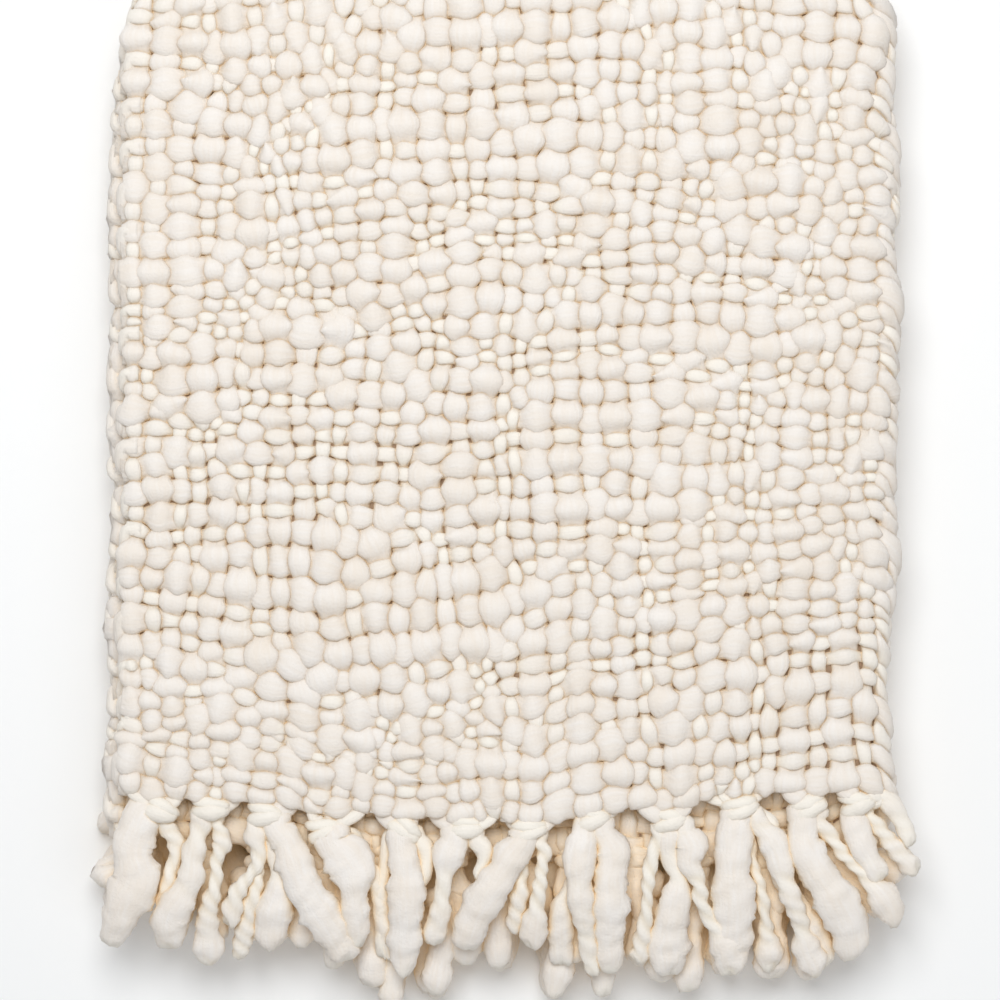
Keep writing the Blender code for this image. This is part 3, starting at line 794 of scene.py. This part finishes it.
def add_cloth():
    """The woven cloth, one mesh for each group of yarns."""
    groups = woven_yarns() + selvedge_turns() + gathered_ends()
    groups = [(name, u, v, limit_height(u, v, n), *rest) for name, u, v, n, *rest in groups]
    high, low = surface_height(groups, 1), surface_height(groups, -1)
    pieces = []
    for name, u, v, n, yarn, fine in groups:
        cell = grid_cell(u, v)
        # Painted shade in the creases: the further a point lies below the softened surface, the more
        # crease colour it gets
        below = np.where(n > 0, high[cell] - n, low[cell] + n)
        depth = smooth((below - CREASE_START) / CREASE_SPAN)
        points, faces = place(u, v, n).reshape(-1, 3), tube_faces(*n.shape)
        pieces.append(add_mesh(name, points, faces, yarn=yarn, depth=depth, fine=fine))
    return pieces


# The fringe


def resample(control, count):
    """Even places along a smooth curve through the rows of control."""
    fine = read_along(control.T, np.linspace(0, len(control) - 1, 12 * len(control)))
    run = np.concatenate([[0], np.cumsum(np.linalg.norm(np.diff(fine[:3], axis=1), axis=0))])
    places = np.linspace(0, run[-1], count)
    return np.array([np.interp(places, run, row) for row in fine]).T, places


def any_phase(rng):
    """A place in a wave, at random."""
    return rng.uniform(0, 6)


def strand_directions(centres):
    """Unit vectors along a strand, to its side and up from it."""
    along = np.gradient(centres, axis=0)
    along /= np.linalg.norm(along, axis=1)[:, None]
    across = np.cross(along, (0, 0, 1))
    across /= np.linalg.norm(across, axis=1)[:, None] + 1e-9
    return along, across, np.cross(across, along)


def strand_surface(run, angles, twisted, rng):
    """How far out a strand's surface lies, as a share of its half width, and the painted shade in the
    plies' crease.
    """
    uneven = run + TWIST_DRIFT * np.sin(run / TWIST_DRIFT_RUN + any_phase(rng))
    beads = BEAD_LENGTH * rng.uniform(*BEAD_SPREAD)
    turned = angles[None, :] - math.pi * uneven[:, None] / beads - any_phase(rng)
    waist = (1 - np.cos(2 * turned)) / 2
    radius = 1 - PLY_WAIST * twisted[:, None] * waist
    lumps = LUMP_RATE * rng.uniform(*LUMP_SPREAD) * uneven[:, None]
    lobe = np.cos(3 * angles[None, :] + lumps + any_phase(rng))
    radius += LUMPS * (1 - twisted[:, None]) * lobe
    radius += FUZZ * rng.normal(size=radius.shape)
    return radius, PLY_CREASE_SHADE * twisted[:, None] * waist**2


def ragged_tip(left, angles, rng):
    """How far the surface near a strand's tip is drawn out along the strand."""
    ragged = np.cos(2 * angles + any_phase(rng)) + TIP_THIRDS * np.cos(3 * angles + any_phase(rng))
    ragged = TIP_RAGGED * (ragged + TIP_UNEVENNESS * rng.normal(size=len(angles)))
    near_tip = smooth(left / TIP_EDGE) * (1 - smooth((left - TIP_EDGE) / TIP_REACH))
    return ragged[None, :] * near_tip[:, None]


def strand_tube(control, twist, rng, step=0.0032, sides=16):
    """A loose strand along its control points, in x, y, z and full width. Thin stretches are twisted
    like a cord of two plies, and fat ones are smooth and open out to a ragged tip."""
    length = np.linalg.norm(np.diff(control[:, :3], axis=0), axis=1).sum()
    centres, run = resample(control, max(8, int(length / step)))
    half_width = centres[:, 3] / 2
    centres = centres[:, :3]
    along, across, up = strand_directions(centres)
    left = run[-1] - run
    rounding = TIP_ROUNDING * half_width[-1] + TIP_LEAST_ROUNDING
    tip = np.sqrt(np.clip(1 - (1 - left / rounding).clip(0, 1) ** 2, TIP_BLUNTNESS, 1))
    soft = 1
    for share, wave_length in SWELLS:
        swell = share * np.sin(math.tau * run / wave_length + any_phase(rng))
        soft = soft + swell * smooth(run / SWELL_START)
    half_width = half_width * tip * soft
    thick = np.minimum(STRAND_FLATNESS * half_width + STRAND_CORE * tip, FRINGE_THICKEST)
    twisted = twist * smooth((TWIST_WIDEST - half_width) / TWIST_FADE) * tip
    angles = np.arange(sides) / sides * math.tau
    radius, crease = strand_surface(run, angles, twisted, rng)
    points = centres[:, None, :] + along[:, None, :] * ragged_tip(left, angles, rng)[..., None]
    points = points + across[:, None, :] * (half_width[:, None] * radius * np.cos(angles))[..., None]
    points = points + up[:, None, :] * (thick[:, None] * radius * np.sin(angles))[..., None]
    fine = 1 - smooth((half_width[:, None] - THIN_STRAND) / THIN_STRAND_SPAN)
    which = rng.uniform(0, 40)
    # The first value is the painted shade in the plies' crease
    values = crease, fine, run[:, None], angles / math.tau, which
    crease, fine, *yarn = [np.broadcast_to(value, radius.shape) for value in values]
    return points, crease, fine, np.stack(yarn, axis=-1)


def knot_tubes(centre, lean, rng):
    """One knot's lens-shaped turns of roving round the gathered strands."""
    tubes = []
    for lift, tilt, size in KNOT_TURNS:
        angle = lean + tilt + rng.uniform(-KNOT_TILT_SPREAD, KNOT_TILT_SPREAD)
        rows = []
        for across, high, width in KNOT_WRAP:
            x = centre[0] + across * math.cos(angle) - lift * math.sin(angle)
            y = centre[1] + across * math.sin(angle) + lift * math.cos(angle)
            rows.append((x, y, centre[2] + high, width * size))
        tubes.append(strand_tube(np.array(rows), 0.0, rng, step=0.0022, sides=12))
    return tubes


def strand_heights(layer, past_end):
    """Height of a layer's strands, some way past the layer's end."""
    return read_table(np.maximum(past_end, 0), STRAND_FALL[layer])


def front_row(rng):
    """The top layer's tassels, strand by strand, squarely folded."""
    end = square_end(HALF_PITCH)
    tubes = []
    for across, past_end, lean in KNOTS:
        x, y = across / 1000 - SIDE_FOLD_START, end - past_end / 1000
        z = TOP_LAYER_HEIGHT + KNOT_RISE
        tubes += knot_tubes((x, y, z), math.radians(lean), rng)
    for knot, twist, lift, rows in FRONT_STRANDS:
        across, past_end, _ = KNOTS[knot]
        first_across, first_past, first_width = rows[0]
        bend = (
            across + ARCH_ACROSS * (first_across - across),
            past_end + ARCH_DOWN * (first_past - past_end),
            ARCH_WIDTH * first_width,
        )
        control = np.array([(across, past_end, ROOT_WIDTH), bend, *rows], float) / 1000
        widest = control[:, 2].max()
        shoulder = SHOULDER * np.exp(-((control[1:, 1] - control[0, 1]) / SHOULDER_REACH) ** 2)
        fat = smooth((widest - FAT_STRAND) / FAT_STRAND_SPAN)
        control[1:, 2] += shoulder * (widest - control[1:, 2]) * fat
        height = strand_heights(OUTER_FRONT, control[:, 1])
        height = height + lift / 1000 * smooth(control[:, 1] / LIFT_REACH)
        x, y = control[:, 0] - SIDE_FOLD_START, end - control[:, 1]
        tubes.append(strand_tube(np.stack([x, y, height, control[:, 2]], axis=-1), twist, rng))
    return tubes


def lower_row(layer, above, knots, rng):
    """A lower layer's tassels, with one strand in each lane."""
    end = square_end(above)
    drop = square_end(HALF_PITCH) - end
    knot_height = strand_heights(layer, 0) + LOWER_KNOT_RISE
    tubes = []
    for x in knots:
        lean = rng.uniform(-LOWER_KNOT_LEAN, LOWER_KNOT_LEAN)
        tubes += knot_tubes((x, end - KNOT_DROP, knot_height), lean, rng)
    fillers = [
        (across + rng.uniform(-FILLER_SWAY, FILLER_SWAY), rng.uniform(*FILLER_REACH))
        for across in FILLERS_ACROSS
    ]
    for across, reach in LANES + fillers:
        lane = across / 1000 - SIDE_FOLD_START
        tip = reach / 1000 * rng.uniform(*LOWER_REACH_SPREAD) - drop
        if tip < SHORTEST_STRAND:
            continue
        root = nearest(np.array(lane), knots)
        twist = rng.choice(LOWER_TWISTS)
        fat = rng.uniform(*LOWER_FAT)
        thin = fat * (LOWER_THIN_SHARE if twist == 0 else LOWER_TWISTED_SHARE)
        bend = rng.uniform(-LOWER_BEND, LOWER_BEND)
        profile = (0, LOWER_ROOT_WIDTH), (0.22, thin), (0.5, thin), (0.75, fat), (1, fat * LOWER_TIP_SHARE)
        rows = []
        for share, width in profile:
            past = KNOT_DROP + (tip - KNOT_DROP) * share
            x = root + (lane - root) * smooth(share * 1.1) + bend * math.sin(math.pi * share)
            rows.append((x, end - past, strand_heights(layer, past), width))
        tubes.append(strand_tube(np.array(rows), twist, rng, step=0.0042, sides=12))
    return tubes


def add_tubes(name, tubes, above):
    """One mesh of strands of different lengths, lain down in the model's place."""
    parts, faces, start = [], [], 0
    # Each strand's painted shade in the plies' crease goes onto the mesh
    for tube, depth, fine, yarn in tubes:
        rings, sides, _ = tube.shape
        x, y, z = tube[..., 0], tube[..., 1], tube[..., 2]
        points = set_down(x, y, z, np.full_like(x, above)).reshape(-1, 3)
        parts.append((points, yarn.reshape(-1, 3), depth.ravel(), fine.ravel()))
        faces += [group + start for group in tube_faces(1, rings, sides)]
        start += rings * sides
    points, yarn, depth, fine = [np.concatenate(part) for part in zip(*parts)]
    return add_mesh(name, points, faces, yarn=yarn, depth=depth, fine=fine)


def add_fringe():
    """The fringe of all four layers, from the top one down."""
    rng = np.random.default_rng(8)
    outer = OUTER_BACK_KNOTS - SIDE_FOLD_START
    inner = -(INNER_KNOTS - SIDE_FOLD_END)
    top = add_tubes("fringe_top", front_row(rng), HALF_PITCH)
    second = add_tubes("fringe_second", lower_row(INNER_FRONT, -HALF_PITCH, inner, rng), -HALF_PITCH)
    third = add_tubes("fringe_third", lower_row(INNER_BACK, -HALF_PITCH, inner, rng), -HALF_PITCH)
    fourth = add_tubes("fringe_fourth", lower_row(OUTER_BACK, HALF_PITCH, outer, rng), HALF_PITCH)
    for piece in (top, second):
        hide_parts("fringe_front")
    for piece in (third, fourth):
        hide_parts("fringe_back")
    return [top, second, third, fourth]


# Materials

CREAM = (0.885, 0.814, 0.745)
DEEPER_CREAM = (0.850, 0.754, 0.655)
FRINGE_CREAM = (0.898, 0.830, 0.765)
DEEPER_FRINGE_CREAM = (0.862, 0.768, 0.672)
THIN_YARN_CREAM = (0.925, 0.852, 0.750)
# Colours of painted shade in the creases of the cloth and of the fringe
CLOTH_CREASE_SHADE = (0.45, 0.36, 0.27)
FRINGE_CREASE_SHADE = (0.77, 0.635, 0.455)
# Painted warm shade of sheltered wool
WARM_SHADE = (1.0, 0.80, 0.54)
SHELTER_REACH = 0.05
# Colour of sheltered wool's faint painted glow
PAINTED_GLOW_COLOUR = (1.0, 0.75, 0.43)
# Dark brown of the sheet in the cloth's middle, painted shade in the gaps between the yarns
SHADE_SHEET_BROWN = (0.34, 0.23, 0.15)
FLOOR_WHITE = (0.95, 0.93, 0.905)
STUDIO_WHITE = (0.93, 0.965, 1.0)


def feed(tree, node, inputs):
    """Links inputs of a node to other nodes' outputs, or sets them to numbers and colours."""
    for name, value in inputs.items():
        socket = node.inputs[name]
        if isinstance(value, bpy.types.NodeSocket):
            tree.links.new(value, socket)
        else:
            socket.default_value = value


def add_node(tree, kind, output, **inputs):
    """One output of a new node. Its inputs are given by name, with _ for a space."""
    node = tree.nodes.new(f"ShaderNode{kind}")
    feed(tree, node, {name.replace("_", " "): value for name, value in inputs.items()})
    return node.outputs[output]


def calculate(tree, operation, first, second):
    """The result of a sum with two values."""
    node = tree.nodes.new("ShaderNodeMath")
    node.operation = operation
    feed(tree, node, {0: first, 1: second})
    return node.outputs[0]


def mix_colours(tree, share, first, second):
    """A colour between two others, each a plain colour or another node's output."""
    node = tree.nodes.new("ShaderNodeMix")
    node.data_type = "RGBA"
    first, second = [(*colour, 1) if isinstance(colour, tuple) else colour for colour in (first, second)]
    feed(tree, node, {0: share, "A": first, "B": second})
    return node.outputs["Result"]


def open_share(tree, reach, samples):
    """How much of the room over a point is open, within a reach."""
    node = tree.nodes.new("ShaderNodeAmbientOcclusion")
    node.inputs["Distance"].default_value = reach
    node.samples = samples
    return node.outputs["AO"]


def read_attribute(tree, name, output="Fac"):
    """A value that is kept on the mesh's points."""
    node = tree.nodes.new("ShaderNodeAttribute")
    node.attribute_name = name
    return node.outputs[output]


def new_material(name, inputs):
    """A material, whose shader has these inputs."""
    material = bpy.data.materials.new(name)
    material.use_nodes = True
    feed(material.node_tree, material.node_tree.nodes["Principled BSDF"], inputs)
    return material


def wool(name, light, dark, thin, crease, reach, openness, painted_glow):
    """Matt roving wool: fine fibres along the yarn, softly uneven colour, and painted shade in the
    creases. reach is how near the walls of a crease are. Wool with less than openness of the room over it
    open turns to the painted warm shade and has a faint painted glow."""
    matt = {"Roughness": 0.95, "Specular IOR Level": 0.2, "Sheen Weight": 0.15, "Sheen Roughness": 0.6}
    # Its emission is a faint painted glow of sheltered wool, not a lamp
    material = new_material(name, {**matt, "Emission Color": (*PAINTED_GLOW_COLOUR, 1)})
    material.cycles.emission_sampling = "NONE"
    tree = material.node_tree

    yarn = read_attribute(tree, "yarn", "Vector")
    fibres = add_node(tree, "Mapping", "Vector", Vector=yarn, Scale=(40.0, 26.0, 7.0))
    streaks = add_node(tree, "TexNoise", "Fac", Vector=fibres, Scale=1.0, Detail=4.0, Roughness=0.6)
    spot = add_node(tree, "TexCoord", "Object")
    clouds = add_node(tree, "TexNoise", "Fac", Vector=spot, Scale=28.0, Detail=2.0, Roughness=0.5)
    fuzz = add_node(tree, "TexNoise", "Fac", Vector=spot, Scale=430.0, Detail=3.0, Roughness=0.6)

    uneven = calculate(tree, "ADD", streaks, clouds)
    tone = add_node(tree, "MapRange", 0, Value=uneven, From_Min=0.75, From_Max=1.25)
    body = mix_colours(tree, tone, dark, light)
    colour = mix_colours(tree, read_attribute(tree, "fine"), body, thin)
    # Painted shade in the creases: points that lie deep or have walls nearby turn to the crease colour
    near = open_share(tree, reach, 3)
    hidden = add_node(tree, "MapRange", 0, Value=near, From_Min=0.78, From_Max=0.20)
    crease_shade_share = calculate(tree, "MAXIMUM", read_attribute(tree, "depth"), hidden)
    warm = mix_colours(tree, crease_shade_share, colour, crease)
    # Painted warm shade where little of the room over the wool is open, with a faint painted glow there
    around = open_share(tree, SHELTER_REACH, 2)
    sheltered = add_node(tree, "MapRange", 0, Value=around, From_Min=openness, From_Max=0.08)
    base = mix_colours(tree, sheltered, warm, WARM_SHADE)
    glow = calculate(tree, "MULTIPLY", sheltered, painted_glow)

    felt = calculate(tree, "ADD", streaks, fuzz)
    bump = add_node(tree, "Bump", "Normal", Height=felt, Strength=0.6, Distance=0.0010)
    shader = tree.nodes["Principled BSDF"]
    feed(tree, shader, {"Base Color": base, "Emission Strength": glow, "Normal": bump})
    return material


# The cloth's sheet of painted shade


def painted_shade_sheet():
    """A thin sheet in the middle of the cloth, along all its folds, which the small gaps between the
    yarns look down to. Its dark brown is painted shade for those gaps."""
    across = np.linspace(GROUND_MARGIN_ACROSS, CLOTH_WIDTH - GROUND_MARGIN_ACROSS, GROUND_PLACES[0])
    along = np.linspace(GROUND_MARGIN_ALONG, CLOTH_LENGTH - GROUND_MARGIN_ALONG, GROUND_PLACES[1])
    u, v = np.meshgrid(across, along, indexing="ij")
    faces = [place(u, v, np.full_like(u, n)) for n in (-GROUND_HALF_THICKNESS, GROUND_HALF_THICKNESS)]
    points = np.concatenate([face.reshape(-1, 3) for face in faces])
    index = np.arange(u.size).reshape(u.shape)
    corners = index[:-1, :-1], index[:-1, 1:], index[1:, 1:], index[1:, :-1]
    low = np.stack(corners, axis=-1).reshape(-1, 4)
    high = low[:, ::-1] + u.size
    rim = np.concatenate([index[:-1, 0], index[-1, :-1], index[:0:-1, -1], index[0, :0:-1]])
    after = np.roll(rim, -1)
    sides = np.stack([rim, after, after + u.size, rim + u.size], axis=-1)
    return add_mesh("painted_shade_sheet", points, [low, high, sides])


# Camera, light and floor

# Places in the photo, in pixels, and metres a pixel
PHOTO_SCALE = 0.000830
PHOTO_MIDDLE = 500
PHOTO_LEFT_SELVEDGE = 118
PHOTO_HEM = 800
PHOTO_SIZE = 1000
VIEW_HEIGHT = 2.5
SENSOR_WIDTH = 36.0
FLOOR_SIZE = 24.0
WORLD_STRENGTH = 0.42


def add_camera():
    """A camera straight over the throw, which shows it as the photo does."""
    data = bpy.data.cameras.new("camera")
    data.sensor_width = SENSOR_WIDTH
    data.lens = data.sensor_width * VIEW_HEIGHT / (PHOTO_SIZE * PHOTO_SCALE)
    data.clip_end = 20.0
    camera = bpy.data.objects.new("camera", data)
    left = -SIDE_FOLD_START + SHIFT_X
    hem = square_end(HALF_PITCH) + SHIFT_Y
    camera.location = (
        left + (PHOTO_MIDDLE - PHOTO_LEFT_SELVEDGE) * PHOTO_SCALE,
        hem + (PHOTO_HEM - PHOTO_MIDDLE) * PHOTO_SCALE,
        TOP_LAYER_HEIGHT + VIEW_HEIGHT,
    )
    bpy.context.scene.collection.objects.link(camera)
    bpy.context.scene.camera = camera


def add_light(name, location, size, power):
    """A round soft light that faces the throw."""
    data = bpy.data.lights.new(name, "AREA")
    data.shape = "DISK"
    data.size = size
    data.energy = power
    data.color = STUDIO_WHITE
    light = bpy.data.objects.new(name, data)
    light.location = location
    light.rotation_euler = (-Vector(location)).to_track_quat("-Z", "Y").to_euler()
    bpy.context.scene.collection.objects.link(light)


def add_surroundings():
    """The pale floor and the soft light of a plain studio."""
    bpy.ops.mesh.primitive_plane_add(size=FLOOR_SIZE)
    floor = bpy.context.object
    floor.name = "floor"
    pale = {"Base Color": (*FLOOR_WHITE, 1), "Roughness": 0.9}
    floor.data.materials.append(new_material("pale floor", pale))
    world = bpy.data.worlds.new("studio")
    world.use_nodes = True
    background = world.node_tree.nodes["Background"]
    background.inputs["Color"].default_value = (*STUDIO_WHITE, 1)
    background.inputs["Strength"].default_value = WORLD_STRENGTH
    bpy.context.scene.world = world
    bpy.context.scene.view_settings.view_transform = "Standard"
    add_light("softbox_top", (-0.20, 1.10, 2.75), 1.7, 63)
    add_light("softbox_front", (0.9, -1.4, 2.2), 1.6, 8)


def main():
    """Builds the throw and its surroundings."""
    # Both wools get painted shade in their creases and sheltered places, and the fringe wool also a faint
    # painted glow
    cloth_wool = wool(
        "woven wool", CREAM, DEEPER_CREAM, THIN_YARN_CREAM, CLOTH_CREASE_SHADE,
        reach=0.0058, openness=0.32, painted_glow=0.0,
    )
    fringe_wool = wool(
        "fringe wool", FRINGE_CREAM, DEEPER_FRINGE_CREAM, THIN_YARN_CREAM, FRINGE_CREASE_SHADE,
        reach=0.012, openness=0.50, painted_glow=0.034,
    )
    # The sheet in the cloth's middle, whose dark brown is painted shade in the gaps between the yarns
    shade_sheet = painted_shade_sheet()
    deep_shade = {"Base Color": (*SHADE_SHEET_BROWN, 1), "Roughness": 1.0}
    shade_sheet.data.materials.append(new_material("wool in deep shade", deep_shade))
    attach(shade_sheet, "root")
    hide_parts("blanket_cloth")
    yarns = add_cloth()
    for piece in yarns:
        piece.data.materials.append(cloth_wool)
        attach(piece, "root")
    fringe = add_fringe()
    for piece in fringe:
        piece.data.materials.append(fringe_wool)
        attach(piece, "root")
    add_camera()
    add_surroundings()


main()
